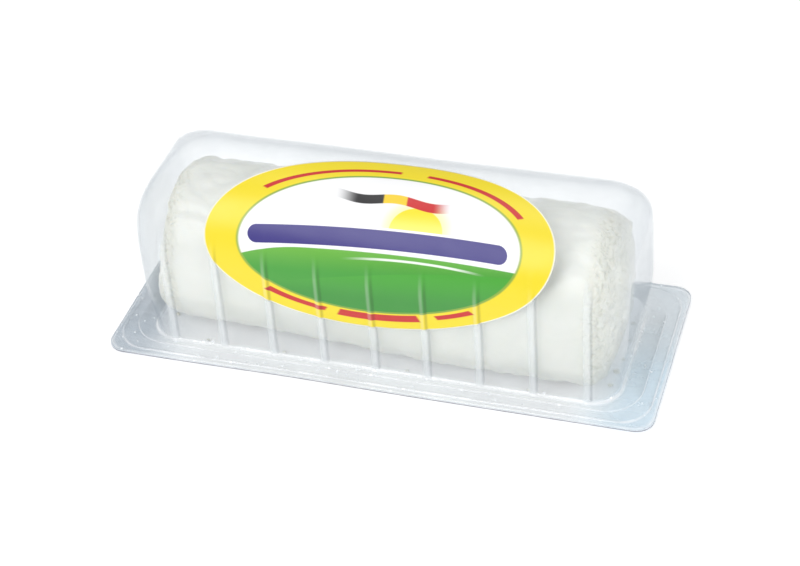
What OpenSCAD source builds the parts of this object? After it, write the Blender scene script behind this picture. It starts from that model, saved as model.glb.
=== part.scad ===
// Soft white cheese log in a clear domed pack with a flat bottom film and an
// oval label. Millimetres, +Z up, +X along the log, the label faces -Y.
// The bottom film rests on Z = 0. Heights in the dome and log modules are
// counted from the top face of the film.

/* [Cheese log] */
// Length of the log
log_l = 122; // [95:1:160]
// Width of the log across its sides
log_w = 43; // [34:0.5:54]
// Height of the log from its flat underside to its crown
log_h = 44; // [40:0.5:54]
// Radius of the long lower corners where the soft log has settled
log_foot_r = 9.5; // [4:0.5:16]
// Radius of the soft edge round each end
log_end_r = 4; // [2:0.5:8]

/* [Dome] */
// Clear space between each end of the log and the end wall at its foot
end_room = 5; // [2:0.5:12]
// Clear space between each side of the log and the wall at its foot
side_room = 1.2; // [1.1:0.1:4]
// Clear space between the crown of the log and the crown of the dome
top_room = 7.8; // [3:0.2:12]
// Thickness of the formed clear sheet
sheet_t = 0.4; // [0.3:0.05:0.7]
// Radius of the upright corners, and of the crown's edge at each end wall
edge_r = 6.5; // [5:0.5:9]
// Radius of the shoulder where the crown comes down to each end wall
shoulder_r = 15; // [12:0.5:20]
// Radius of the fillet between the walls and the flange
foot_r = 1.2; // [0.8:0.1:2]

/* [Ribs] */
// Number of upright ribs on each long side
rib_n = 9; // [3:2:9]
// Radius of a rib's section
rib_r = 1.1; // [0.9:0.05:1.5]
// Distance a rib stands out from the wall
rib_proud = 0.6; // [0.4:0.05:0.8]
// Angle at which a rib has sunk into the crown, above level, in degrees
rib_end_a = 38; // [32:1:50]

/* [Flange] */
// Width of the flange beyond each end wall
flange_end = 11; // [9:0.5:16]
// Width of the flange beyond each side wall
flange_side = 7.4; // [6.8:0.1:12]
// Radius of the flange's outer corners
flange_r = 5; // [3:0.5:8]
// Distance of the outer step from the flange's edge
step1_in = 1.6; // [1:0.1:2.2]
// Radius of the outer step's corners
step1_r = 9; // [6:0.5:12]
// Distance of the inner step from the flange's edge
step2_in = 4.8; // [4:0.1:5.2]
// Radius of the inner step's corners
step2_r = 10; // [6:0.5:12]
// Height of each step
step_h = 0.45; // [0.3:0.05:0.8]

/* [Bottom film] */
// Thickness of the bottom film
film_t = 0.3; // [0.2:0.05:0.5]

/* [Label] */
// Length of the oval label
label_l = 95.4; // [70:0.2:100]
// Height of the oval label, measured straight across
label_h = 43.6; // [30:0.2:45]
// Thickness of the label
label_t = 0.15; // [0.1:0.05:0.3]
// Layer of glue between label and dome
glue_t = 0.1; // [0.1:0.05:0.2]
// Direction the label faces, above level, in degrees
label_face_a = 35; // [25:1:40]
// Turn of the oval on the dome, in degrees
label_turn_a = 4.5; // [0:0.5:8]
// Shift of the label along the dome
label_x = 0.7; // [-2:0.1:2]

/* [Hidden] */
$fn = 96;
// Half sizes of the dome's outer foot
foot_x = log_l / 2 + end_room + sheet_t;
foot_y = log_w / 2 + side_room + sheet_t;
// Outer crown height, and the height of the middle of its round section
crown_z = log_h + top_room + sheet_t;
crown_mid_z = crown_z - foot_y;
// Spacing of the ribs: the last ones stand on the flat wall, just before the corners
rib_pitch = 2 * (foot_x - edge_r - rib_r) / (rib_n - 1);
// Half sizes of the flange and of the film under it
flange_x = foot_x + flange_end;
flange_y = foot_y + flange_side;
// Depth of a rib's axis behind the wall
rib_in = rib_r - rib_proud;
// Bend of a rib's axis: how far its centre lies in front of the crown's centre
bend_off = rib_proud / (1 - cos(rib_end_a));
bend_r = foot_y - rib_in - bend_off;
// Highest face of the flange, where the walls rise
flange_z = sheet_t + 2 * step_h;
// Amount a cutting solid runs past the film plane
past = 1;

// Outline of a rounded rectangle from half sizes
module round_outline(hx, hy, r) {
    square([2 * hx, 2 * (hy - r)], center = true);
    square([2 * (hx - r), 2 * hy], center = true);
    for (sx = [-1, 1], sy = [-1, 1])
        translate([sx * (hx - r), sy * (hy - r)])
            circle(r);
}

// Plate with that outline between two heights
module round_plate(hx, hy, r, z0, z1) {
    translate([0, 0, z0])
        linear_extrude(z1 - z0)
            round_outline(hx, hy, r);
}

// Profile swept round a rounded rectangle; X of the profile points outwards
module swept_ring(hx, hy, r) {
    for (k = [0, 1])
        rotate([0, 0, 180 * k]) {
            translate([hx, 0, 0])
                rotate([90, 0, 0])
                    linear_extrude(2 * (hy - r), center = true)
                        children();
            rotate([0, 0, 90])
                translate([hy, 0, 0])
                    rotate([90, 0, 0])
                        linear_extrude(2 * (hx - r), center = true)
                            children();
            translate([hx - r, hy - r, 0])
                rotate_extrude(angle = 90)
                    translate([r, 0])
                        children();
            translate([r - hx, hy - r, 0])
                rotate([0, 0, 90])
                    rotate_extrude(angle = 90)
                        translate([r, 0])
                            children();
        }
}

// Body of the dome without its ribs, from height low upwards, grown by g: upright
// walls with rounded corners, a crown that turns the same outline half round, and
// a larger radius where the crown comes down to each end wall
module dome_body(g, low) {
    half_x = foot_x + g;
    half_y = foot_y + g;
    intersection() {
        union() {
            round_plate(half_x, half_y, edge_r + g, low, crown_mid_z);
            translate([0, 0, crown_mid_z])
                rotate([0, 90, 0])
                    rotate([0, 0, 90])
                        rotate_extrude(angle = 180)
                            intersection() {
                                round_outline(half_y, half_x, edge_r + g);
                                translate([0, -half_x])
                                    square(2 * half_x);
                            }
        }
        rotate([90, 0, 0])
            linear_extrude(4 * half_y, center = true)
                round_outline(half_x, crown_z + g, shoulder_r + g);
    }
}

// One rib up the front wall, bending tighter than the crown until it has sunk
// into it, grown by g
module rib(g) {
    translate([0, rib_in - foot_y, sheet_t / 2])
        cylinder(h = crown_mid_z - sheet_t / 2, r = rib_r + g);
    translate([0, -bend_off, crown_mid_z])
        rotate([90, 0, -90])
            rotate_extrude(angle = rib_end_a + 8)
                translate([bend_r, 0])
                    circle(rib_r + g);
}

// The front ribs, grown by g
module front_ribs(g) {
    for (i = [0:rib_n - 1])
        translate([(i - (rib_n - 1) / 2) * rib_pitch, 0, 0])
            rib(g);
}

// Fillet at the foot of the walls, grown by g
module foot_fillet(g) {
    translate([0, 0, flange_z])
        swept_ring(foot_x, foot_y, edge_r)
            difference() {
                translate([-1.2, g])
                    square([foot_r + 1.2, foot_r - g]);
                translate([foot_r, foot_r])
                    circle(foot_r - g);
            }
}

// Stepped middle of the flange and the dome on it, from height low upwards, grown by g
module formed_body(g, low) {
    round_plate(flange_x - step1_in + g, flange_y - step1_in + g, step1_r + g, low, sheet_t + step_h + g);
    round_plate(flange_x - step2_in + g, flange_y - step2_in + g, step2_r + g, low, flange_z + g);
    foot_fillet(g);
    dome_body(g, low);
}

// Ribs on both long sides, grown by g
module both_ribs(g) {
    front_ribs(g);
    rotate([0, 0, 180])
        front_ribs(g);
}

// Clear formed sheet: flange, walls, hollow ribs and crown
module dome() {
    color([0.86, 0.91, 0.94, 0.35])
        translate([0, 0, film_t])
            difference() {
                union() {
                    round_plate(flange_x, flange_y, flange_r, 0, sheet_t);
                    formed_body(0, 0);
                    both_ribs(0);
                }
                union() {
                    formed_body(-sheet_t, -past);
                    both_ribs(-sheet_t);
                }
            }
}

// Flat clear film that closes the pack from below
module base_film() {
    color([0.86, 0.91, 0.94, 0.35])
        round_plate(flange_x, flange_y, flange_r, 0, film_t);
}

// Section across the log: round crown, settled lower corners, flat underside
module log_section() {
    half = log_w / 2;
    mid_z = log_h - half;
    translate([0, mid_z])
        circle(half);
    translate([-half, log_foot_r])
        square([log_w, mid_z - log_foot_r]);
    translate([log_foot_r - half, 0])
        square([log_w - 2 * log_foot_r, log_foot_r]);
    for (s = [-1, 1])
        translate([s * (half - log_foot_r), log_foot_r])
            circle(log_foot_r);
}

// The cheese log, lying on the film
module cheese_log() {
    color([0.96, 0.96, 0.93])
        translate([0, 0, film_t])
            intersection() {
                rotate([90, 0, 90])
                    linear_extrude(log_l, center = true)
                        log_section();
                round_plate(log_l / 2, log_w, log_end_r, -past, log_h + 1);
                rotate([90, 0, 0])
                    translate([0, log_h / 2, -log_w])
                        round_plate(log_l / 2, log_h / 2, log_end_r, 0, 2 * log_w);
            }
}

// Solid the label's faces are cut from: crown, walls and front ribs, grown by g
module label_core(g) {
    rotate([90, 0, 90])
        linear_extrude(label_l + 8, center = true) {
            translate([0, crown_mid_z])
                circle(foot_y + g);
            translate([-foot_y - g, 0])
                square([2 * (foot_y + g), crown_mid_z]);
        }
    front_ribs(g);
}

// Oval label that follows the front wall, its ribs and the crown
module label() {
    color([0.95, 0.87, 0.2])
        translate([0, 0, film_t])
            intersection() {
                difference() {
                    label_core(glue_t + label_t);
                    label_core(glue_t);
                }
                translate([label_x, 0, crown_mid_z])
                    rotate([90 - label_face_a, 0, 0])
                        rotate([0, 0, label_turn_a])
                            linear_extrude(foot_y + 20)
                                scale([label_l / 2, label_h / 2])
                                    circle(1);
            }
}

cheese_log();
dome();
base_film();
label();
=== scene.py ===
# %% [markdown]
# # A soft cheese log in its clear pack
# The object is a log of fresh white cheese that lies on a flat film under a clear
# formed dome with a stepped flange, and an oval paper label follows the dome's front.
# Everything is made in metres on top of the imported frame, so each piece goes where
# the frame says. The clear pieces, the cheese and the label are all modelled again
# here, because real ones are softer and less even than their plain solids. Each new
# piece rides the frame's body and takes the place of its plain solid.

# %% Load the frame
import math

import bmesh
import bpy
from mathutils import Matrix, Vector, noise


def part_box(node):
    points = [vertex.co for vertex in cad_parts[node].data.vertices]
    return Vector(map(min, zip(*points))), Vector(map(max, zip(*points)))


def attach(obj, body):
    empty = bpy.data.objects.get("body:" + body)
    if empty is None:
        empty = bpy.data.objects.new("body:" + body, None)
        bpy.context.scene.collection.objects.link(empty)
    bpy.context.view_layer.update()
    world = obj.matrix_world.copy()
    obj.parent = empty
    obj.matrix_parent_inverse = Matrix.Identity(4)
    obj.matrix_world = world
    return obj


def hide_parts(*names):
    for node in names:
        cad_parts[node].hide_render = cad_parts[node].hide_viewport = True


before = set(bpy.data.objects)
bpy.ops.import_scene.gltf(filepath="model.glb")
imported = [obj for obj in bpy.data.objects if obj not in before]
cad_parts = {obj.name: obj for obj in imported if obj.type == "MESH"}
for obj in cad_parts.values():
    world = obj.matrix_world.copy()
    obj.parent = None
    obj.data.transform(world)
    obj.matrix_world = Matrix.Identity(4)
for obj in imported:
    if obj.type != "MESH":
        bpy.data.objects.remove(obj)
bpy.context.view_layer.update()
film_low, film_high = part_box("base_film")
dome_low, dome_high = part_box("dome")
log_low, log_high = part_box("cheese_log")

# %% [markdown]
# ## The shape of the formed sheet
# One function says where the clear sheet runs, and the dome and the label both ask
# it. A separate shape for each would be simpler to write, but the label would then
# float off the sheet or sink into it wherever a rib stands up. The sheet has upright
# walls, a round crown, and ribs that sink into the crown.

# %% Sizes of the formed sheet
MM = 0.001
FILM = film_high.z
SHEET = 0.4 * MM
FLANGE_X = film_high.x
FLANGE_Y = film_high.y
FLANGE_END, FLANGE_SIDE = 11 * MM, 7.4 * MM
FOOT_X = FLANGE_X - FLANGE_END
FOOT_Y = FLANGE_Y - FLANGE_SIDE
CROWN = dome_high.z
MIDDLE = CROWN - FOOT_Y
WALL = MIDDLE - FILM
SHOULDER = 15 * MM
CORNER = 7.5 * MM
RIBS = 9
RIB_PITCH = 14.7 * MM
RIB_HALF = 1.15 * MM
RIB_PROUD = 0.62 * MM
# The label's middle along the pack and up the wall from the film, its half length P
# and half width Q laid flat, and how far it is turned
LABEL_X, LABEL_UP = 1.5 * MM, 42.3 * MM
LABEL_HALF_P, LABEL_HALF_Q = 48.0 * MM, 25.6 * MM
LABEL_TURN = math.radians(4.6)
print("crown at", round(CROWN, 4), "round part starts at", round(MIDDLE, 4))


def ease(value, start, end):
    """0 before start, 1 after end, smooth in between; start may be the larger."""
    t = min(1.0, max(0.0, (value - start) / (end - start)))
    return t * t * (3 - 2 * t)


def rib_height(x, along, front):
    """How far a rib stands out at x, with along counted up the wall; back ribs end lower."""
    index = min(RIBS // 2, max(-(RIBS // 2), round(x / RIB_PITCH)))
    off = abs(x - index * RIB_PITCH) / RIB_HALF
    if off >= 1:
        return 0.0
    top = WALL + FOOT_Y * math.radians(35 + 4 * math.sin(index * 2.3))
    if front:
        rise = ease(along, top, WALL - 2 * MM)
    else:
        rise = ease(along, WALL + 1 * MM, WALL - 6 * MM)
    foot = ease(along, 0.9 * MM, 2.2 * MM)
    return RIB_PROUD * (1 - off * off) ** 1.2 * rise * foot


def under_label(x, along):
    """1 where the label covers the sheet, 0 outside it."""
    dx, dy = x - LABEL_X, along - LABEL_UP
    p = dx * math.cos(LABEL_TURN) + dy * math.sin(LABEL_TURN)
    q = dy * math.cos(LABEL_TURN) - dx * math.sin(LABEL_TURN)
    return ease(math.hypot(p / LABEL_HALF_P, q / LABEL_HALF_Q), 1.10, 0.99)


def waver(point):
    """The slight unevenness of a formed sheet, in metres."""
    broad = noise.noise(Vector((point.x * 28, point.y * 45, point.z * 45)))
    fine = noise.noise(Vector((point.x * 90 + 7, point.y * 90, point.z * 70)))
    return (0.26 * broad + 0.06 * fine) * MM * ease(point.z, 1.6 * MM, 8 * MM)


def out_of(point):
    """Direction away from the sheet's spine."""
    reach = FOOT_X - SHOULDER
    spine = Vector((min(reach, max(-reach, point.x)), 0, min(point.z, MIDDLE)))
    return (point - spine).normalized()


def on_sheet(point, along):
    """A point of the plain shape, moved out by its rib and the sheet's waver."""
    lift = waver(point)
    if abs(point.x) < FOOT_X - CORNER + 1.2 * MM:
        pressed = under_label(point.x, along) if point.y < 0 else 0.0
        lift += rib_height(point.x, along, point.y < 0) * (1 - 0.5 * pressed)
    return point + out_of(point) * lift


# %% [markdown]
# ## Pulling rings
# The dome, the film and the log are all stacks of rings. A circle of edges is made
# with an operator, its points are put on the first outline, and the open edge is
# extruded to the next outline, over and over. A grid bent with a lattice could do
# it too, but rings keep the points on the ribs and on the steps of the flange.

# %% Ring helpers
def pull_rings(outlines, bright=()):
    """Extrudes a ring of edges through the outlines; the numbers in bright mark the rings that get a painted
    highlight line.
    """
    bm = bmesh.new()
    line = bm.verts.layers.float.new("painted highlight line")
    bmesh.ops.create_circle(bm, segments=len(outlines[0]), radius=1.0, cap_ends=False)
    place = bm.verts.layers.int.new("place")
    for number, point in enumerate(bm.verts):
        point[place] = number
        point.co = outlines[0][number]
    edge_ring = list(bm.edges)
    for number, outline in enumerate(outlines[1:], 1):
        made = bmesh.ops.extrude_edge_only(bm, edges=edge_ring)["geom"]
        edge_ring = [g for g in made if isinstance(g, bmesh.types.BMEdge) and g.is_boundary]
        for point in [g for g in made if isinstance(g, bmesh.types.BMVert)]:
            point.co = outline[point[place]]
            point[line] = 1.0 if number in bright else 0.0
    bm.verts.layers.int.remove(place)
    return bm


def finish_piece(bm, name):
    """Turns the faces outwards, smooths them and makes the object."""
    bmesh.ops.remove_doubles(bm, verts=bm.verts, dist=1e-6)
    bmesh.ops.recalc_face_normals(bm, faces=bm.faces)
    highest = max(bm.faces, key=lambda f: f.calc_center_median().z)
    if highest.normal.z <= 0:
        bmesh.ops.reverse_faces(bm, faces=bm.faces)
    mesh = bpy.data.meshes.new(name)
    bm.to_mesh(mesh)
    bm.free()
    mesh.polygons.foreach_set("use_smooth", [True] * len(mesh.polygons))
    piece = bpy.data.objects.new(name, mesh)
    bpy.context.scene.collection.objects.link(piece)
    print(name, "has", len(mesh.polygons), "faces")
    return piece


def thicken(piece, thickness):
    """Gives a sheet its thickness on the inner side."""
    wall = piece.modifiers.new("thickness", "SOLIDIFY")
    wall.thickness = thickness
    wall.offset = -1
    wall.use_even_offset = True
    return wall


# %% [markdown]
# ## The outline of one ring
# Every ring of the pack is a rounded rectangle with the same number of points, so
# that one ring joins the next. The points of a long side stand close together over
# each rib and far apart between ribs. Evenly spaced points would need three times
# as many to draw a rib cleanly.

# %% Outline of one ring
def side_places():
    """Places along a long side, close together over each rib."""
    span = FOOT_X - CORNER
    places = []
    for index in range(-(RIBS // 2), RIBS // 2 + 1):
        middle = index * RIB_PITCH
        for off in (-1.35, -1.1, -0.85, -0.6, -0.3, 0, 0.3, 0.6, 0.85, 1.1, 1.35):
            places.append(middle + off * MM)
        if index < RIBS // 2:
            for share in (0.2, 0.4, 0.6, 0.8):
                places.append(middle + 1.35 * MM + share * (RIB_PITCH - 2.7 * MM))
    inside = [p for p in places if abs(p) < span - 0.1 * MM]
    return [-1.0] + [p / span for p in inside] + [1.0]


SIDE = side_places()
CORNER_STEPS = 9
END_STEPS = 14


def ring(half_x, half_y, corner, height):
    """Rounded rectangle at one height, front side first, then round to the right."""
    corner = min(corner, 0.93 * half_y)
    cx, cy = half_x - corner, half_y - corner
    spread = min(cx, FOOT_X - CORNER)
    points = [Vector((cx * u if abs(u) == 1 else spread * u, -half_y, height)) for u in SIDE]
    for turn, corner_y in ((-90, -cy), (0, cy)):
        for k in range(1, CORNER_STEPS):
            a = math.radians(turn + 90 * k / CORNER_STEPS)
            points.append(Vector((cx + corner * math.cos(a), corner_y + corner * math.sin(a), height)))
        if turn == -90:
            for k in range(END_STEPS + 1):
                points.append(Vector((half_x, cy * (2 * k / END_STEPS - 1), height)))
    return points + [Vector((-p.x, -p.y, height)) for p in points]


print("a ring has", len(ring(FOOT_X, FOOT_Y, CORNER, 0)), "points")

# %% [markdown]
# ## The clear dome
# A real dome is one sheet, sucked into a hot mould: a flat flange with two small
# steps, a rounded foot, walls with ribs, and a crown. The rings follow that order,
# from the flange's edge to the crown's ridge, and Solidify gives the sheet its
# thickness. The flange of a real pack never lies quite flat, so its edge lifts a
# little off the table, and the film under it follows the same lift. The end walls
# swell out a little, and the rings along the steps are marked to get a painted
# highlight line.

# %% Dome
def edge_lift(point):
    """How far the flange's edge stands off the table."""
    out_x = (abs(point.x) - FOOT_X) / (FLANGE_X - FOOT_X)
    out_y = (abs(point.y) - FOOT_Y) / (FLANGE_Y - FOOT_Y)
    reach = ease(max(out_x, out_y), 0.0, 1.0)
    uneven = noise.noise(Vector((point.x * 22 + 3, point.y * 30, 0.5)))
    return reach * (0.55 + 0.5 * uneven) * MM


def end_bulge(height):
    """How far the end walls swell out, as thin walls do when the mould lets go."""
    return 2.0 * MM * ease(height, 2 * MM, 17 * MM)


def lifted(points):
    return [p + Vector((0, 0, edge_lift(p))) for p in points]


# How far in from the edge, how high, and the corner's radius, in millimetres
FLANGE_STEPS = ((0.0, 0.40, 5), (0.25, 0.52, 5.2), (0.9, 0.55, 6), (1.45, 0.5, 8.6), (1.62, 0.6, 9),
                (1.72, 0.88, 9), (1.9, 0.97, 9.2), (3.2, 0.94, 9.6), (4.6, 0.92, 10), (4.78, 1.0, 10),
                (4.9, 1.25, 10), (5.1, 1.34, 10))
# How far out from the wall and how high, in millimetres
FOOT_STEPS = ((1.9, 1.33), (1.2, 1.34), (0.7, 1.45), (0.3, 1.75), (0.08, 2.1), (0.0, 2.5))
FOOT_TOP = 2.5 * MM
STEP_HIGHLIGHT_RINGS = (1, 4, 5, 10, 14, 15)
outlines = []
for inward, height, corner in FLANGE_STEPS:
    plain = ring(FLANGE_X - inward * MM, FLANGE_Y - inward * MM, corner * MM, FILM + height * MM)
    outlines.append(lifted(plain))
for outward, height in FOOT_STEPS:
    plain = ring(FOOT_X + outward * MM, FOOT_Y + outward * MM, CORNER + outward * MM, FILM + height * MM)
    outlines.append([on_sheet(p, 2.1 * MM - outward * 0.7 * MM) for p in lifted(plain)])
for step in range(1, 10):
    height = FILM + FOOT_TOP + (MIDDLE - FILM - FOOT_TOP) * step / 9
    plain = ring(FOOT_X + end_bulge(height), FOOT_Y, CORNER, height)
    outlines.append([on_sheet(p, height - FILM) for p in plain])
for step in range(1, 31):
    angle = math.radians(3 * step)
    height = MIDDLE + FOOT_Y * math.sin(angle)
    over = max(0.0, height - (CROWN - SHOULDER))
    half_x = FOOT_X + end_bulge(height) - SHOULDER + math.sqrt(max(0.0, SHOULDER ** 2 - over ** 2))
    half_y = FOOT_Y * math.cos(angle) if step < 30 else 0.0
    plain = ring(half_x, half_y, CORNER, height)
    outlines.append([on_sheet(p, WALL + FOOT_Y * angle) for p in plain])
for point in outlines[-1]:
    point.y = 0.0
pack_dome = finish_piece(pull_rings(outlines, STEP_HIGHLIGHT_RINGS), "pack_dome")
thicken(pack_dome, SHEET)
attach(pack_dome, "root")
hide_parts("dome")

# %% [markdown]
# ## The bottom film
# The film is a flat sheet cut to the flange's outline. It is heat sealed to the
# flange, so it has to follow the flange's lift: the same rings close in towards
# the middle, where the last one is filled.

# %% Film
outlines = []
for inward, corner in ((0.0, 5), (0.8, 5.6), (1.7, 9), (3.2, 9.6), (5.0, 10), (7.0, 10), (9.0, 10)):
    outlines.append(lifted(ring(FLANGE_X - inward * MM, FLANGE_Y - inward * MM, corner * MM, FILM)))
for share in (0.85, 0.6, 0.35, 0.12):
    outlines.append([Vector((p.x * share, p.y * share, FILM)) for p in ring(FOOT_X, FOOT_Y, CORNER, FILM)])
film_rings = pull_rings(outlines)
inner_edges = [e for e in film_rings.edges if e.is_boundary and abs(e.verts[0].co.x) < 0.2 * FOOT_X]
bmesh.ops.holes_fill(film_rings, edges=inner_edges)
pack_film = finish_piece(film_rings, "pack_film")
thicken(pack_film, FILM * 0.95)
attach(pack_film, "root")
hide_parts("base_film")

# %% [markdown]
# ## The cheese log
# Fresh cheese is piped into a log and wrapped while soft, so it has a round crown,
# a flat settled underside, a skin with small creases, and rough broken ends. One
# end has settled: it is drawn in at its front foot and swells outwards lower down.
# The rings run along the log. Sculpting by hand would look right too, but seeded
# noise gives the same log every time the script runs.

# %% Log section and unevenness
LOG_HALF = (log_high.y - log_low.y) / 2
LOG_END = log_high.x
LOG_TOP = log_high.z
LOG_MIDDLE = LOG_TOP - LOG_HALF
LOG_FOOT = 9.5 * MM
SECTION_POINTS = 168


def section_outline():
    """Points round the log's section, evenly spaced, as (across, height)."""
    corner_y, corner_z = LOG_HALF - LOG_FOOT, FILM + LOG_FOOT
    path = []
    for k in range(181):
        a = math.radians(k)
        path.append((LOG_HALF * math.cos(a), LOG_MIDDLE + LOG_HALF * math.sin(a)))
    for side, start in ((-1, 180), (1, 270)):
        for k in range(31):
            a = math.radians(start + 3 * k)
            path.append((side * corner_y + LOG_FOOT * math.cos(a), corner_z + LOG_FOOT * math.sin(a)))
    path.append(path[0])
    lengths = [0.0]
    for (ax, az), (bx, bz) in zip(path, path[1:]):
        lengths.append(lengths[-1] + math.hypot(bx - ax, bz - az))
    points, at = [], 0
    for k in range(SECTION_POINTS):
        want = lengths[-1] * k / SECTION_POINTS
        while lengths[at + 1] < want:
            at += 1
        share = (want - lengths[at]) / (lengths[at + 1] - lengths[at] or 1)
        points.append((path[at][0] + share * (path[at + 1][0] - path[at][0]),
                       path[at][1] + share * (path[at + 1][1] - path[at][1])))
    return points


SECTION = section_outline()
LOG_CENTRE = FILM + 0.47 * (LOG_TOP - FILM)


def crease(point, scale, seed):
    """Sharp small folds, 0 in the fold and 1 between folds."""
    value = noise.noise(Vector((point.x * scale * 0.75 + seed, point.y * scale, point.z * scale)))
    return min(1.0, abs(value) * 4.5)


def log_skin(point, share):
    """Moves a point of the log in or out; share is 1 on the skin and 0 at an end's middle."""
    away = Vector((0, point.y, point.z - LOG_CENTRE)).normalized()
    end = ease(abs(point.x), LOG_END - 7 * MM, LOG_END - 1 * MM)
    top = ease(point.z, LOG_TOP - 13 * MM, LOG_TOP - 2 * MM)
    foot = ease(point.z, FILM + 9 * MM, FILM + 3 * MM)
    ground = ease(point.z, FILM, FILM + 1.2 * MM)
    bulk = 0.32 * noise.noise(Vector((point.x * 32, point.y * 26 + 5, point.z * 26)))
    folds = -0.75 * top * (1 - crease(point, 75, 2.0)) - 0.32 * top * (1 - crease(point, 170, 8.0))
    torn = 0.65 * foot * ground * noise.noise(Vector((point.x * 310, point.y * 240, point.z * 420)))
    grain = 0.55 * end * noise.noise(Vector((point.x * 260, point.y * 260, point.z * 260)))
    grain += 0.4 * end * noise.noise(Vector((point.x * 110 + 4, point.y * 110, point.z * 110)))
    moved = point + away * (bulk * ground + folds + torn + grain * share - 0.25) * MM
    front_foot = ease(point.z, FILM + 17 * MM, FILM) * ease(-point.y, 2 * MM, 12 * MM)
    lower_end = ease(point.x, 30 * MM - LOG_END, -LOG_END) * ease(point.z, FILM + 36 * MM, FILM + 12 * MM)
    moved.y += 4.6 * MM * ease(point.x, 30 * MM, -LOG_END) * front_foot
    moved.x -= 2.2 * MM * lower_end
    moved.z = max(moved.z, FILM + 0.02 * MM)
    return moved


print("the log's section has", len(SECTION), "points")

# %% [markdown]
# ## Rings along the log
# The barrel is a row of equal rings, and each end closes with rings that shrink: a
# few round the edge and more over the broken face, which stands out in the middle.
# A plain flat cap would be quicker, but a torn end of soft cheese is never flat.

# %% Log
def end_swell(side, across, height):
    """How far an end stands out beyond its plane at one place."""
    lump = noise.noise(Vector((across * 60 + side * 9, height * 60, side * 3)))
    rough = noise.noise(Vector((across * 190, height * 190, side * 5)))
    fine = noise.noise(Vector((across * 430, height * 430, side * 7)))
    settled = 0.5 * ease(height, FILM + 30 * MM, FILM + 8 * MM) if side < 0 else 0.0
    return (0.9 * lump + 0.6 * rough + 0.5 * fine + settled) * MM


def log_ring(x, share, side=0):
    """A ring of the log at x; share below 1 lies on the end face."""
    points = []
    for across, height in SECTION:
        point = Vector((x, across * share, LOG_CENTRE + (height - LOG_CENTRE) * share))
        point = log_skin(point, share)
        if side:
            point.x += side * end_swell(side, point.y, point.z) * ease(1 - share, 0.0, 0.12)
        points.append(point)
    return points


END_ROUND = 5.0 * MM
FACE_CROWN = {-1: 1.2 * MM, 1: 4.3 * MM}
FACE_RINGS, EDGE_RINGS, BARREL_STEPS = 12, 8, 118
BARREL = 2 * (LOG_END - END_ROUND)


def log_cap(side):
    """Rings of one end, from the middle of its face to the start of the barrel."""
    cap = []
    for k in range(FACE_RINGS + 1):
        share = 0.02 + 0.85 * k / FACE_RINGS
        x = LOG_END + FACE_CROWN[side] * (1 - share ** 2)
        cap.append(log_ring(side * x, share, side))
    for k in range(1, EDGE_RINGS):
        a = math.radians(90 * k / EDGE_RINGS)
        inset = 0.55 * END_ROUND * (1 - math.sin(a)) / LOG_HALF
        x = LOG_END - END_ROUND * (1 - math.cos(a))
        cap.append(log_ring(side * x, 1 - inset, side))
    return cap


barrel = [log_ring(-BARREL / 2 + BARREL * k / BARREL_STEPS, 1.0) for k in range(BARREL_STEPS + 1)]
log_rings = pull_rings(log_cap(-1) + barrel + log_cap(1)[::-1])
bmesh.ops.holes_fill(log_rings, edges=[e for e in log_rings.edges if e.is_boundary])
cheese = finish_piece(log_rings, "cheese")
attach(cheese, "root")
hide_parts("cheese_log")

# %% [markdown]
# ## Crumbs
# A cut end of fresh cheese sheds crumbs, and a few lie on the film inside the pack.
# Each crumb is a small ball pushed out of shape, and one splinter hangs from the
# broken end. A particle system could scatter them, but a dozen placed one by one
# are surer. They are one piece, as no crumb needs an object of its own.

# %% Crumbs
# Where each crumb lies along and across the pack, and its radius, in millimetres
CRUMBS = ((63.6, -8.5, 0.75), (64.3, -3.0, 0.5), (63.2, -14.0, 0.6), (64.6, 5.0, 0.55), (-62.9, -12.0, 0.6),
          (-63.8, 2.0, 0.5), (42.0, -20.6, 0.4), (-27.5, -20.7, 0.45), (8.0, -20.6, 0.4), (-50.2, -20.5, 0.4),
          (63.9, 12.5, 0.6), (-63.4, 10.5, 0.45))
crumb_mesh = bmesh.new()
for number, (x, y, size) in enumerate(CRUMBS):
    made = bmesh.ops.create_icosphere(crumb_mesh, subdivisions=2, radius=size * MM)["verts"]
    for point in made:
        bump = 1 + 0.45 * noise.noise(point.co * 1400 + Vector((number * 5.1, 0, 0)))
        point.co = Vector((point.co.x * bump * 1.3, point.co.y * bump, point.co.z * bump * 0.7))
    lowest = min(point.co.z for point in made)
    for point in made:
        point.co += Vector((x * MM, y * MM, FILM + 0.02 * MM - lowest))
splinter = bmesh.ops.create_cone(crumb_mesh, segments=7, radius1=0.55 * MM, radius2=0.05 * MM,
                                 depth=2.6 * MM, cap_ends=True)["verts"]
turn = Matrix.Translation((62.6 * MM, -13.6 * MM, 13.0 * MM)) @ Matrix.Rotation(math.radians(72), 4, "Y")
bmesh.ops.transform(crumb_mesh, matrix=turn, verts=splinter)
cheese_crumbs = finish_piece(crumb_mesh, "cheese_crumbs")
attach(cheese_crumbs, "root")

# %% [markdown]
# ## The label
# The label is a thin oval of paper that follows the wall, the ribs and the crown.
# A square grid is squeezed into a disc, laid out flat as the oval, and then bent
# onto the sheet. Projecting a flat oval with Shrinkwrap would stretch the print
# where the wall turns away, so each point is placed by its distance up the sheet.
# Its place on the flat oval is kept as a UV map, in which the print is drawn later.

# %% Label
GLUE = 0.16 * MM
PAPER = 0.12 * MM
FLAT_SHEET = 100 * MM


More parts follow.
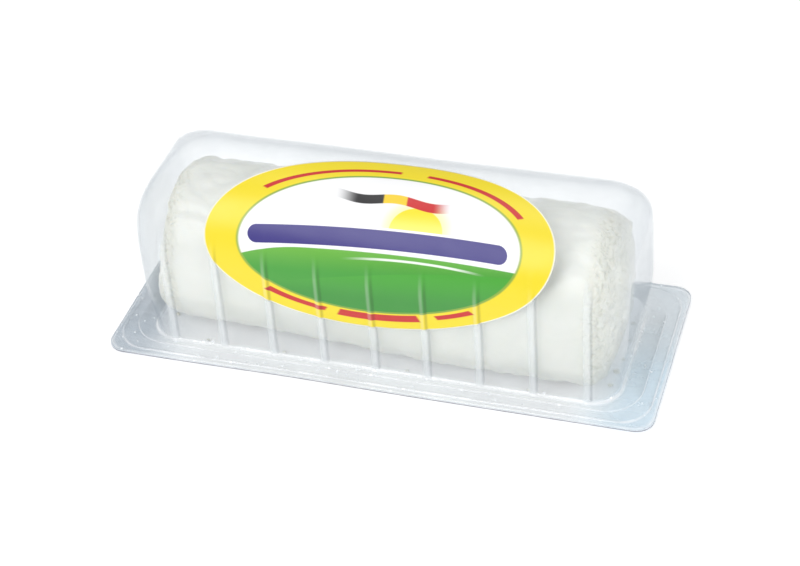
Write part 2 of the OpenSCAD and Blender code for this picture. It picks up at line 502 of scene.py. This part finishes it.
def label_point(p, q):
    """Bends a point of the flat oval onto the sheet."""
    x = LABEL_X + p * math.cos(LABEL_TURN) - q * math.sin(LABEL_TURN)
    along = LABEL_UP + p * math.sin(LABEL_TURN) + q * math.cos(LABEL_TURN)
    if along < WALL:
        plain = Vector((x, -FOOT_Y, FILM + along))
    else:
        angle = (along - WALL) / FOOT_Y
        plain = Vector((x, -FOOT_Y * math.cos(angle), MIDDLE + FOOT_Y * math.sin(angle)))
    return on_sheet(plain, along) + out_of(plain) * (GLUE + PAPER)


label_bm = bmesh.new()
bmesh.ops.create_grid(label_bm, x_segments=250, y_segments=84, size=1.0)
flat = label_bm.loops.layers.uv.new("print")
spots = {}
for point in label_bm.verts:
    u, v = point.co.x, point.co.y
    p = LABEL_HALF_P * u * math.sqrt(1 - v * v / 2)
    q = LABEL_HALF_Q * v * math.sqrt(1 - u * u / 2)
    spots[point.index] = (p, q)
    point.co = label_point(p, q)
for face in label_bm.faces:
    for loop in face.loops:
        p, q = spots[loop.vert.index]
        loop[flat].uv = (0.5 + p / FLAT_SHEET, 0.5 + q / FLAT_SHEET)
pack_label = finish_piece(label_bm, "pack_label")
paper = thicken(pack_label, PAPER)
paper.material_offset = 1
paper.material_offset_rim = 1
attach(pack_label, "root")
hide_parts("label")
print("label's middle stands at", [round(c, 4) for c in label_point(0, 0)])

# %% [markdown]
# ## Node helpers
# A material is a small machine of nodes. These helpers keep the wiring short: one
# makes a node with its settings, one does sums, and a few turn values into masks. A
# mask is 1 inside a zone, 0 outside it and smooth between. Plain node code would do
# the same, but it takes four lines where a helper takes one.

# %% Node helpers
class Board:
    """One node tree, with short ways to add and join nodes."""

    def __init__(self, tree):
        self.tree = tree

    def add(self, kind, inputs=(), **settings):
        node = self.tree.nodes.new(kind)
        for name, value in settings.items():
            setattr(node, name, value)
        for name, value in dict(inputs).items():
            self.feed(value, node.inputs[name])
        return node

    def feed(self, value, socket):
        if isinstance(value, bpy.types.NodeSocket):
            self.tree.links.new(value, socket)
        else:
            socket.default_value = value

    def sum(self, operation, a, b=0.0, c=0.0):
        node = self.add("ShaderNodeMath", {0: a, 1: b, 2: c}, operation=operation)
        return node.outputs[0]

    def both(self, a, b):
        """The zone that two masks share."""
        return self.sum("MULTIPLY", a, b)

    def less(self, a, b):
        """The first mask without the second."""
        return self.sum("MULTIPLY", a, self.sum("SUBTRACT", 1.0, b))

    def weaker(self, value, where, share):
        """A value that loses a share of itself inside a mask."""
        return self.sum("MULTIPLY", value, self.sum("MULTIPLY_ADD", where, -share, 1.0))

    def reach(self, a, b):
        """How long a step is that goes a across and b up."""
        squares = self.sum("MULTIPLY_ADD", a, a, self.sum("MULTIPLY", b, b))
        return self.sum("SQRT", squares)

    def mask(self, value, start, end):
        """0 at start, 1 at end, smooth between; start may be the larger."""
        node = self.add("ShaderNodeMapRange", {"Value": value, "From Min": start, "From Max": end},
                        interpolation_type="SMOOTHSTEP")
        return node.outputs["Result"]

    def near(self, value, middle, far, close):
        """1 within close of the middle, 0 beyond far of it."""
        return self.mask(self.sum("ABSOLUTE", self.sum("SUBTRACT", value, middle)), far, close)

    def blend(self, factor, a, b, kind="MIX"):
        node = self.add("ShaderNodeMix", data_type="RGBA", blend_type=kind)
        self.feed(factor, node.inputs["Factor"])
        self.feed(a, node.inputs[6])
        self.feed(b, node.inputs[7])
        return node.outputs[2]

    def noise(self, place, scale, detail=3.0, stretch=(1, 1, 1)):
        turned = self.add("ShaderNodeMapping", {"Vector": place, "Scale": stretch})
        node = self.add("ShaderNodeTexNoise", {"Vector": turned.outputs[0], "Scale": scale, "Detail": detail})
        return node.outputs["Fac"]

    def bump(self, height, strength, distance):
        settings = {"Height": height, "Strength": strength, "Distance": distance}
        return self.add("ShaderNodeBump", settings).outputs["Normal"]

    def end_with(self, shader):
        """Joins the last shader to the output and says how big the tree has grown."""
        output = self.add("ShaderNodeOutputMaterial")
        self.feed(shader.outputs[0], output.inputs["Surface"])
        print("this finish has", len(self.tree.nodes), "nodes")


def new_finish(name):
    """An empty material and its board."""
    finish = bpy.data.materials.new(name)
    finish.use_nodes = True
    finish.node_tree.nodes.clear()
    return finish, Board(finish.node_tree)


def colour(red, green, blue):
    """A colour given as it looks on screen, 0 to 255, turned into linear light."""
    def linear(value):
        value /= 255
        return value / 12.92 if value <= 0.04045 else ((value + 0.055) / 1.055) ** 2.4
    return (linear(red), linear(green), linear(blue), 1.0)


print("a middle grey is", round(colour(128, 128, 128)[0], 3), "in linear light")

# %% [markdown]
# ## Unevenness, used by every finish
# Cheese, sheet and paper are all a little uneven. One node group gives that: a
# broad and a fine unevenness from the piece's own place, mixed into one value for
# colour and one height for bump. Copying the nodes into each material would look
# the same, but one group is put right in one place.

# %% Unevenness group
uneven_group = bpy.data.node_groups.new("uneven skin", "ShaderNodeTree")
GROUP_INPUTS = (("Broad scale", 60.0), ("Fine scale", 600.0), ("Fine share", 0.3))
for socket, value in GROUP_INPUTS:
    made = uneven_group.interface.new_socket(socket, in_out="INPUT", socket_type="NodeSocketFloat")
    made.default_value = value
for socket in ("Mask", "Height"):
    uneven_group.interface.new_socket(socket, in_out="OUTPUT", socket_type="NodeSocketFloat")
board = Board(uneven_group)
given = board.add("NodeGroupInput")
place = board.add("ShaderNodeTexCoord").outputs["Object"]
broad = board.noise(place, given.outputs["Broad scale"])
fine = board.noise(place, given.outputs["Fine scale"], 4.0)
fine_part = board.sum("MULTIPLY", board.sum("SUBTRACT", fine, 0.5), given.outputs["Fine share"])
height = board.sum("ADD", broad, fine_part)
result = board.add("NodeGroupOutput")
board.feed(board.mask(height, 0.3, 0.7), result.inputs["Mask"])
board.feed(height, result.inputs["Height"])
print("the unevenness group has", len(uneven_group.nodes), "nodes")


def uneven(board, broad_scale, fine_scale, share):
    """Places the group on a board and gives its mask and its height."""
    node = board.add("ShaderNodeGroup", node_tree=uneven_group)
    node.inputs["Broad scale"].default_value = broad_scale
    node.inputs["Fine scale"].default_value = fine_scale
    node.inputs["Fine share"].default_value = share
    return node.outputs["Mask"], node.outputs["Height"]


# %% [markdown]
# ## Cheese finish
# Fresh cheese is white with a faint warm tone, and more ivory where its ends are
# broken. Painted shade darkens the pits of the broken ends and lays grey streaks
# along the foot, where the log meets the film. It is moist enough for a soft shine.
# Light goes a little way in, so it gets some subsurface scattering; without it the
# log looks like plaster.

# %% Cheese finish
cheese_finish, board = new_finish("fresh cheese")
place = board.add("ShaderNodeTexCoord").outputs["Object"]
parts = board.add("ShaderNodeSeparateXYZ", {0: place})
patches, curd = uneven(board, 90.0, 900.0, 0.45)
out_x = board.sum("ABSOLUTE", parts.outputs["X"])
end_zone = board.mask(out_x, LOG_END - 6 * MM, LOG_END - 1 * MM)
wander = board.add("ShaderNodeTexNoise", {"Vector": place, "Scale": 260.0, "Detail": 3.0})
pushed = board.add("ShaderNodeVectorMath", {0: wander.outputs["Color"], 1: (0.003, 0.003, 0.003), 2: place},
                   operation="MULTIPLY_ADD")
grain = board.add("ShaderNodeTexVoronoi", {"Vector": pushed.outputs[0], "Scale": 1150.0, "Randomness": 1.0},
                  feature="SMOOTH_F1")
pits = board.both(board.mask(grain.outputs["Distance"], 0.35, 0.85), end_zone)
low_band = board.mask(parts.outputs["Z"], FILM + 3.5 * MM, FILM + 0.8 * MM)
# painted shade: grey streaks low along the log's foot, beside the film
foot_shade = board.both(low_band, board.mask(board.noise(place, 210.0, 4.0, (0.6, 1, 2.2)), 0.5, 0.36))
skin = board.blend(patches, colour(237, 238, 230), colour(243, 243, 236))
# painted shade: the pits of the broken ends are coloured darker
ends = board.blend(pits, colour(239, 238, 227), colour(224, 223, 210))
base = board.blend(foot_shade, board.blend(end_zone, skin, ends), colour(210, 210, 200))
relief = board.sum("SUBTRACT", board.sum("MULTIPLY", curd, 0.35), board.sum("MULTIPLY", pits, 1.3))
surface = board.add("ShaderNodeBsdfPrincipled", {
    "Base Color": base, "Roughness": board.sum("MULTIPLY_ADD", patches, 0.12, 0.44),
    "Normal": board.bump(relief, 0.45, 0.0007), "Subsurface Weight": 0.35, "Subsurface Scale": 0.002,
    "Subsurface Radius": (1.0, 0.9, 0.75), "Coat Weight": 0.7, "Coat Roughness": 0.28})
board.end_with(surface)
cheese.data.materials.append(cheese_finish)
cheese_crumbs.data.materials.append(cheese_finish)

# %% [markdown]
# ## Marks on the formed sheet
# Only the formed sheet has ribs, tiny bubbles in its flange, milky streaks and painted
# highlight lines along its steps. The ribs are in the mesh already, but clear plastic
# hides its own relief, so each rib also gets a painted highlight on its crest and a
# thin painted shade in the groove beside it.

# %% Marks of the formed sheet
def rib_offset(board, across):
    """How far a place is from the middle of the nearest rib, in millimetres."""
    turns = board.sum("DIVIDE", across, RIB_PITCH)
    left_over = board.sum("SUBTRACT", turns, board.sum("ROUND", turns))
    return board.sum("MULTIPLY", left_over, RIB_PITCH / MM)


def rib_highlight_and_shade(board, parts):
    """Masks for the painted highlight on each rib's crest and the painted shade in the groove beside it."""
    behind = board.mask(parts.outputs["Y"], -1 * MM, 1 * MM)
    lowered = board.sum("MULTIPLY_ADD", behind, 12 * MM, parts.outputs["Z"])
    zone = board.both(board.mask(lowered, 42 * MM, 33 * MM), board.mask(parts.outputs["Z"], 1.8 * MM, 2.6 * MM))
    out_x = board.sum("ABSOLUTE", parts.outputs["X"])
    out_y = board.sum("ABSOLUTE", parts.outputs["Y"])
    zone = board.both(zone, board.mask(out_y, FOOT_Y - 4.5 * MM, FOOT_Y - 2 * MM))
    zone = board.both(zone, board.mask(out_x, FOOT_X - 4.8 * MM, FOOT_X - 5.4 * MM))
    off = rib_offset(board, parts.outputs["X"])
    return board.both(board.near(off, -0.1, 1.3, 0.6), zone), board.both(board.near(off, 1.1, 0.5, 0.1), zone)


def sheet_marks(board, place, parts, low, cloud, base, amount):
    """Adds the marks, real ones and painted highlights and shade, to the sheet's colour and to the amount of it
    that shows.
    """
    crest, groove_shade = rib_highlight_and_shade(board, parts)
    dots = board.add("ShaderNodeTexVoronoi", {"Vector": place, "Scale": 330.0}, feature="F1")
    bubbles = board.both(board.mask(dots.outputs["Distance"], 0.16, 0.08), low)
    streaks = board.both(low, board.mask(board.noise(place, 95.0, 3.0, (0.35, 1.6, 1)), 0.42, 0.62))
    # painted highlight: pale lines along the marked rings of the flange steps and the foot
    marked = board.add("ShaderNodeAttribute", attribute_name="painted highlight line").outputs["Fac"]
    lines = board.both(marked, board.mask(cloud, -0.6, 0.9))
    # painted highlight: the rib crests take the same pale colour as the bubbles
    base = board.blend(board.sum("MAXIMUM", bubbles, crest), base, colour(240, 246, 250))
    # painted shade: a dark grey-blue line in the groove beside each rib
    base = board.blend(groove_shade, base, colour(128, 140, 152))
    base = board.blend(lines, base, colour(250, 252, 254))
    for mark, strength in ((streaks, 0.12), (lines, 0.28), (bubbles, 0.6), (crest, 0.19), (groove_shade, 0.11)):
        amount = board.sum("MULTIPLY_ADD", mark, strength, amount)
    return base, amount


# %% [markdown]
# ## Clear plastic
# A thin clear sheet bends light so little that real refraction only adds noise.
# The light goes straight through a Transparent shader with a faint cool tint, and a
# Principled shader is mixed in more as the sheet turns away, because it is there
# that the sheet looks milky and shines. Where it turns away its colour is also
# painted darker, a grey-blue edge that stands in for the darker surroundings the
# sheet shows at that angle. The end walls are milkier. The flange is greyer at its
# ends; this grey is painted lighter and bluer at the right end, where the log's
# shadow falls, and weaker at the back, where the pack shades the table under it.
# The table lights the flange from below, which a whiter colour and a faint glow
# stand for.

# %% Clear plastic finish
def clear_plastic(name, tint, body, haze, edge, formed):
    """formed is True for the dome's sheet, with its marks, and False for the plain film."""
    finish, board = new_finish(name)
    place = board.add("ShaderNodeTexCoord").outputs["Object"]
    parts = board.add("ShaderNodeSeparateXYZ", {0: place})
    cloud, height = uneven(board, 70.0, 380.0, 0.25)
    low = board.mask(parts.outputs["Z"], 3.5 * MM, 2 * MM)
    at_back = board.mask(parts.outputs["Y"], -8 * MM, 14 * MM)
    right_side = board.mask(parts.outputs["X"], -20 * MM, 50 * MM)
    out_x = board.sum("ABSOLUTE", parts.outputs["X"])
    beyond_end = board.mask(out_x, FOOT_X - 16 * MM, FOOT_X + 4 * MM)
    # painted light: the grey of the flange ends is weaker at the back, against the shade under the pack
    end_flange = board.weaker(board.both(beyond_end, low), at_back, 0.5)
    end_flange_strength = board.sum("MULTIPLY_ADD", right_side, 0.08, 0.14)
    end_wall = board.less(board.mask(out_x, FOOT_X - 9 * MM, FOOT_X - 1 * MM), low)

    facing = board.add("ShaderNodeLayerWeight", {"Blend": 0.5}).outputs["Facing"]
    veil = board.weaker(board.sum("POWER", facing, 2.0), low, 0.6)
    rim = board.sum("POWER", facing, 5.0)
    amount = board.sum("MULTIPLY_ADD", veil, edge, haze)
    edge_line = board.weaker(rim, low, 0.8)
    for mark, strength in ((edge_line, 0.32), (cloud, 0.025), (end_flange, end_flange_strength), (end_wall, 0.07)):
        amount = board.sum("MULTIPLY_ADD", mark, strength, amount)
    # painted shade: the colour turns grey-blue where the sheet turns away
    base = board.blend(rim, body, colour(150, 168, 186))
    # painted light: the flange is whiter, for the table's light from below
    base = board.blend(low, base, colour(247, 251, 253))
    # painted light: the grey of the flange ends is lighter and bluer at the right end, where the log's shadow
    # falls
    end_colour = board.blend(right_side, colour(188, 200, 211), colour(226, 242, 252))
    base = board.blend(end_flange, base, end_colour)
    if formed:
        base, amount = sheet_marks(board, place, parts, low, cloud, base, amount)

    surface = board.add("ShaderNodeBsdfPrincipled", {
        "Base Color": base, "Roughness": board.sum("MULTIPLY_ADD", cloud, 0.08, 0.10),
        "Normal": board.bump(height, 0.25, 0.0006), "Specular IOR Level": 0.8,
        "Coat Weight": 1.0, "Coat Roughness": 0.05, "Emission Color": base,
        "Emission Strength": board.both(low, board.sum("MULTIPLY_ADD", beyond_end, -0.18, 0.25))})
    through = board.add("ShaderNodeBsdfTransparent", {"Color": tint})
    board.end_with(board.add("ShaderNodeMixShader", {0: amount, 1: through.outputs[0], 2: surface.outputs[0]}))
    return finish


SHEET_TINT, SHEET_BODY = (0.988, 0.993, 0.996, 1), colour(214, 222, 229)
FILM_TINT, FILM_BODY = (0.992, 0.995, 0.998, 1), colour(232, 238, 243)
pack_dome.data.materials.append(clear_plastic("clear formed sheet", SHEET_TINT, SHEET_BODY, 0.006, 0.27, True))
pack_film.data.materials.append(clear_plastic("clear film", FILM_TINT, FILM_BODY, 0.004, 0.1, False))

# %% [markdown]
# ## Cut edges
# Where a clear sheet is sheared off, its edge is rough and catches light, so it is
# seen as a thin line round the pack. A bevel would be too small to see. The rim that
# Solidify makes takes a finish of its own instead: pale for the sheet, and for the
# film a darker one, which is painted shade for the thin shadow under the flange's edge.

# %% Cut edges
def cut_edge(name, light, dark):
    """The sheared edge of a clear sheet."""
    finish, board = new_finish(name)
    cloud, height = uneven(board, 160.0, 900.0, 0.4)
    board.end_with(board.add("ShaderNodeBsdfPrincipled", {
        "Base Color": board.blend(cloud, dark, light), "Roughness": board.sum("MULTIPLY_ADD", cloud, 0.1, 0.3),
        "Normal": board.bump(height, 0.2, 0.0003)}))
    return finish


pack_dome.data.materials.append(cut_edge("sheet cut edge", colour(236, 242, 246), colour(214, 224, 232)))
# painted shade: the film's edge is dark, standing for the shadow under the flange's edge
pack_film.data.materials.append(cut_edge("film edge painted shadow", colour(168, 166, 178), colour(140, 138, 152)))
pack_dome.modifiers["thickness"].material_offset_rim = 1
pack_film.modifiers["thickness"].material_offset_rim = 1

# %% [markdown]
# ## Label print
# The print is made of plain fields: a yellow ring with a pale edge and red rules, a
# thin green line, a white sky, a sun, two green hills, a small three-colour ribbon
# and a plain purple band. Each field is a mask worked out from the label's own flat
# coordinates, so it bends with the paper. An image would need a file beside the
# script, and its edges would blur close up.

# %% Label fields
label_print, board = new_finish("label print")
flat_place = board.add("ShaderNodeUVMap", uv_map="print").outputs[0]
flat_parts = board.add("ShaderNodeSeparateXYZ", {0: flat_place})
p = board.sum("MULTIPLY", board.sum("SUBTRACT", flat_parts.outputs["X"], 0.5), FLAT_SHEET / MM)
q = board.sum("MULTIPLY", board.sum("SUBTRACT", flat_parts.outputs["Y"], 0.5), FLAT_SHEET / MM)
RULE_HALF_P, RULE_HALF_Q = 42.0, 21.7


def oval(centre_p, centre_q, half_p, half_q, soft=0.012):
    """1 inside an oval given in millimetres of the flat label."""
    a = board.sum("DIVIDE", board.sum("SUBTRACT", p, centre_p), half_p)
    b = board.sum("DIVIDE", board.sum("SUBTRACT", q, centre_q), half_q)
    return board.mask(board.reach(a, b), 1 + soft, 1 - soft)


def below_hill(top_p, top_q, spread_left, spread_right, drop):
    """1 below a rounded hill whose crest is at one place."""
    a = board.sum("SUBTRACT", p, top_p)
    left = board.sum("DIVIDE", board.sum("MINIMUM", a, 0.0), spread_left)
    right = board.sum("DIVIDE", board.sum("MAXIMUM", a, 0.0), spread_right)
    far = board.reach(left, right)
    line = board.sum("SUBTRACT", top_q, board.sum("MULTIPLY", board.sum("MULTIPLY", far, far), drop))
    return board.mask(board.sum("SUBTRACT", q, line), 0.12, -0.12)


def bar(centre_p, centre_q, half_p, half_q):
    """1 inside a plain band with round ends, which slopes and is bowed like the oval."""
    bow = board.sum("MULTIPLY", board.sum("MULTIPLY", p, p), -0.0011)
    from_middle = board.sum("ABSOLUTE", board.sum("SUBTRACT", p, centre_p))
    a = board.sum("MAXIMUM", board.sum("SUBTRACT", from_middle, half_p - half_q), 0.0)
    b = board.sum("SUBTRACT", board.sum("SUBTRACT", q, centre_q), board.sum("MULTIPLY_ADD", p, -0.035, bow))
    return board.mask(board.reach(a, b), half_q + 0.1, half_q - 0.1)


def ring_rule(start, end, half):
    """1 on a thin line along the middle of the ring, between two angles in degrees."""
    a = board.sum("DIVIDE", p, RULE_HALF_P)
    b = board.sum("DIVIDE", board.sum("ADD", q, 0.2), RULE_HALF_Q)
    on_line = board.near(board.reach(a, b), 1.0, half + 0.004, half - 0.002)
    middle, spread = math.radians((start + end) / 2), math.radians((end - start) / 2)
    return board.both(on_line, board.near(board.sum("ARCTAN2", b, a), middle, spread + 0.01, spread - 0.01))


# %% Label picture
inner = oval(0.3, -0.4, 38.6, 19.5)
green_line = board.less(oval(0.3, -0.4, 39.0, 19.9), inner)
yellow_field = oval(0, 0, 47.7, 25.35, 0.006)
hill = below_hill(-20.0, -1.5, 22.0, 60.0, 4.0)
near_hill = below_hill(30.0, -6.5, 60.0, 30.0, 6.0)
line_under = board.sum("MULTIPLY_ADD", board.sum("MULTIPLY", p, p), -0.0032, -3.6)
line_reach = board.both(board.mask(p, -10.0, 4.0), board.mask(p, 30.0, 20.0))
hill_line = board.both(board.near(q, line_under, 0.42, 0.2), line_reach)
over_band = board.mask(q, 1.0, 1.5)
sun = board.both(oval(10.7, 3.9, 7.2, 6.4, 0.025), over_band)
glow = board.both(oval(10.7, 3.9, 9.0, 7.8, 0.25), over_band)
wave = board.sum("MULTIPLY", board.sum("SINE", board.sum("MULTIPLY", p, 0.32)), 0.6)
ribbon_middle = board.sum("ADD", board.sum("MULTIPLY_ADD", p, -0.085, 12.4), wave)
ribbon_ends = board.both(board.mask(p, -12.5, -5.5), board.mask(p, 20.0, 14.5))
ribbon = board.both(board.near(q, ribbon_middle, 1.4, 1.2), ribbon_ends)
ribbon_colour = board.blend(board.mask(p, 0.9, 1.5), colour(14, 12, 16), colour(248, 206, 20))
ribbon_colour = board.blend(board.mask(p, 7.2, 7.8), ribbon_colour, colour(204, 16, 18))
rule = ring_rule(84, 139, 0.02)
for start, end, half in ((25, 74, 0.02), (-139, -112, 0.03), (-107, -76, 0.05), (-69, -53, 0.03)):
    rule = board.sum("MAXIMUM", rule, ring_rule(start, end, half))
plain_band = bar(0.0, 1.6, 35.5, 2.5)
band_edge = bar(0.0, 1.6, 36.1, 3.1)
grass = board.blend(board.mask(q, 0.0, -9.0), colour(108, 182, 58), colour(52, 154, 34))
near_grass = board.blend(board.mask(q, -7.0, -17.0), colour(62, 164, 36), colour(40, 142, 36))
sunshine = board.blend(board.mask(q, 10.0, 2.0), colour(253, 226, 20), colour(254, 238, 110))
picture = board.blend(glow, colour(247, 247, 248), colour(250, 244, 180))
LAYERS = ((sun, sunshine), (hill, grass), (near_hill, near_grass), (hill_line, colour(240, 248, 236)),
          (ribbon, ribbon_colour), (band_edge, colour(252, 252, 255)), (plain_band, colour(46, 36, 126)))
for field, ink in LAYERS:
    picture = board.blend(field, picture, ink)
picture = board.blend(inner, colour(240, 218, 0), picture)
picture = board.blend(green_line, picture, colour(60, 150, 60))
picture = board.blend(rule, picture, colour(200, 8, 6))
picture = board.blend(yellow_field, colour(250, 250, 240), picture)
print("the picture has", len(LAYERS) + 5, "fields")

# %% [markdown]
# ## Ribs under the print
# Paper glued over a rib shows it as a soft dark line beside a pale one. The label's
# mesh follows the ribs already, but bright ink hides such shallow relief, so a
# painted shade and a painted highlight are laid on the print beside each rib as well.

# %% Pressed ribs
label_place = board.add("ShaderNodeSeparateXYZ", {0: board.add("ShaderNodeTexCoord").outputs["Object"]})
off_rib = rib_offset(board, label_place.outputs["X"])
down = board.mask(label_place.outputs["Z"], 38 * MM, 30 * MM)
rib_shade = board.both(board.near(off_rib, 0.75, 0.7, 0.0), down)
rib_light = board.both(board.near(off_rib, -0.35, 0.8, 0.1), down)
picture = board.blend(rib_shade, picture, colour(214, 214, 206), "MULTIPLY")
picture = board.blend(board.sum("MULTIPLY", rib_light, 0.14), picture, colour(255, 255, 250))

# %% [markdown]
# ## Label paper
# The front of a food label is varnished, so it shines softly. The back is plain
# paper with glue on it, and some light comes through it, which a faint glow stands
# for. One function makes both, with its own values for each side.

# %% Label paper and its two sides
def paper_surface(board, base, rough, shine, glow=0.0):
    cloud, height = uneven(board, 120.0, 1500.0, 0.2)
    board.end_with(board.add("ShaderNodeBsdfPrincipled", {
        "Base Color": base, "Roughness": board.sum("MULTIPLY_ADD", cloud, 0.1, rough),
        "Normal": board.bump(height, 0.12, 0.0004), "Specular IOR Level": 0.5, "Coat Weight": shine,
        "Coat Roughness": 0.28, "Emission Color": base, "Emission Strength": glow}))


paper_surface(board, picture, 0.38, 0.55)
pack_label.data.materials.append(label_print)
label_back, board = new_finish("label back")
fibre, _ = uneven(board, 300.0, 2500.0, 0.5)
paper_surface(board, board.blend(fibre, colour(236, 236, 232), colour(246, 246, 243)), 0.6, 0.0, 0.16)
pack_label.data.materials.append(label_back)

# %% [markdown]
# ## Floor
# The pack lies on a plain white table. A faint glow keeps the table white where the
# lamps leave it grey, and leaves only a light shadow beside the pack.

# %% Floor
floor_bm = bmesh.new()
bmesh.ops.create_grid(floor_bm, x_segments=2, y_segments=2, size=3.0)
floor = finish_piece(floor_bm, "floor")
floor_finish, board = new_finish("white table")
dust, _ = uneven(board, 8.0, 60.0, 0.2)
board.end_with(board.add("ShaderNodeBsdfPrincipled", {
    "Base Color": board.blend(dust, colour(250, 250, 250), colour(252, 252, 252)), "Roughness": 0.7,
    "Specular IOR Level": 0.2, "Emission Color": (1, 1, 1, 1), "Emission Strength": 0.23}))
floor.data.materials.append(floor_finish)

# %% [markdown]
# ## Lamps
# A wide lamp at the upper left front draws the long highlight on the log, a wide one
# hangs above, and a weaker one at the right lights the broken end. A pale world
# fills the rest. A clear pack shows what is round it, so a dark room would turn it
# black. Large discs are used and not small lamps, as they give soft shadows.

# %% Lamps
LAMP_AIM = Vector((0, 0, 0.02))


def lamp(name, place, size, power):
    """A round soft lamp at a place, pointed at the pack."""
    light = bpy.data.lights.new(name, "AREA")
    light.shape = "DISK"
    light.size = size
    light.energy = power
    thing = bpy.data.objects.new(name, light)
    thing.location = place
    thing.rotation_euler = (LAMP_AIM - Vector(place)).to_track_quat("-Z", "Y").to_euler()
    bpy.context.scene.collection.objects.link(thing)


lamp("front_lamp", (-0.34, -0.8, 0.78), 0.85, 5.2)
lamp("top_lamp", (0.0, 0.15, 1.1), 0.8, 2.6)
lamp("right_lamp", (0.9, -0.25, 0.35), 0.5, 2.1)
world = bpy.data.worlds.new("pale room")
world.use_nodes = True
room = world.node_tree.nodes["Background"]
room.inputs["Color"].default_value = (0.985, 0.99, 1.0, 1)
room.inputs["Strength"].default_value = 0.51
bpy.context.scene.world = world
bpy.context.scene.view_settings.view_transform = "Standard"

# %% [markdown]
# ## Camera
# The camera looks down on the pack from the front, a little to its right, and is
# rolled a few degrees, so that the pack seems to lie askew. A Track To constraint
# can't roll, so the camera's three directions are worked out and set as one matrix.

# %% Camera
CAMERA_DISTANCE = 0.5629
AIM = Vector((0.61 * MM, 0, 13.8 * MM))
TURN, RISE, ROLL = math.radians(19.73), math.radians(38.71), math.radians(-4.48)
away = Vector((math.sin(TURN) * math.cos(RISE), -math.cos(TURN) * math.cos(RISE), math.sin(RISE)))
right = (-away).cross(Vector((0, 0, 1))).normalized()
up = right.cross(-away)
rolled_right = right * math.cos(ROLL) + up * math.sin(ROLL)
rolled_up = up * math.cos(ROLL) - right * math.sin(ROLL)
lens = bpy.data.cameras.new("camera")
lens.sensor_width = 36
lens.lens = 91.4
camera = bpy.data.objects.new("camera", lens)
pose = Matrix((rolled_right, rolled_up, away)).transposed().to_4x4()
pose.translation = AIM + away * CAMERA_DISTANCE
camera.matrix_world = pose
bpy.context.scene.collection.objects.link(camera)
bpy.context.scene.camera = camera

print("camera stands at", [round(c, 3) for c in pose.translation])
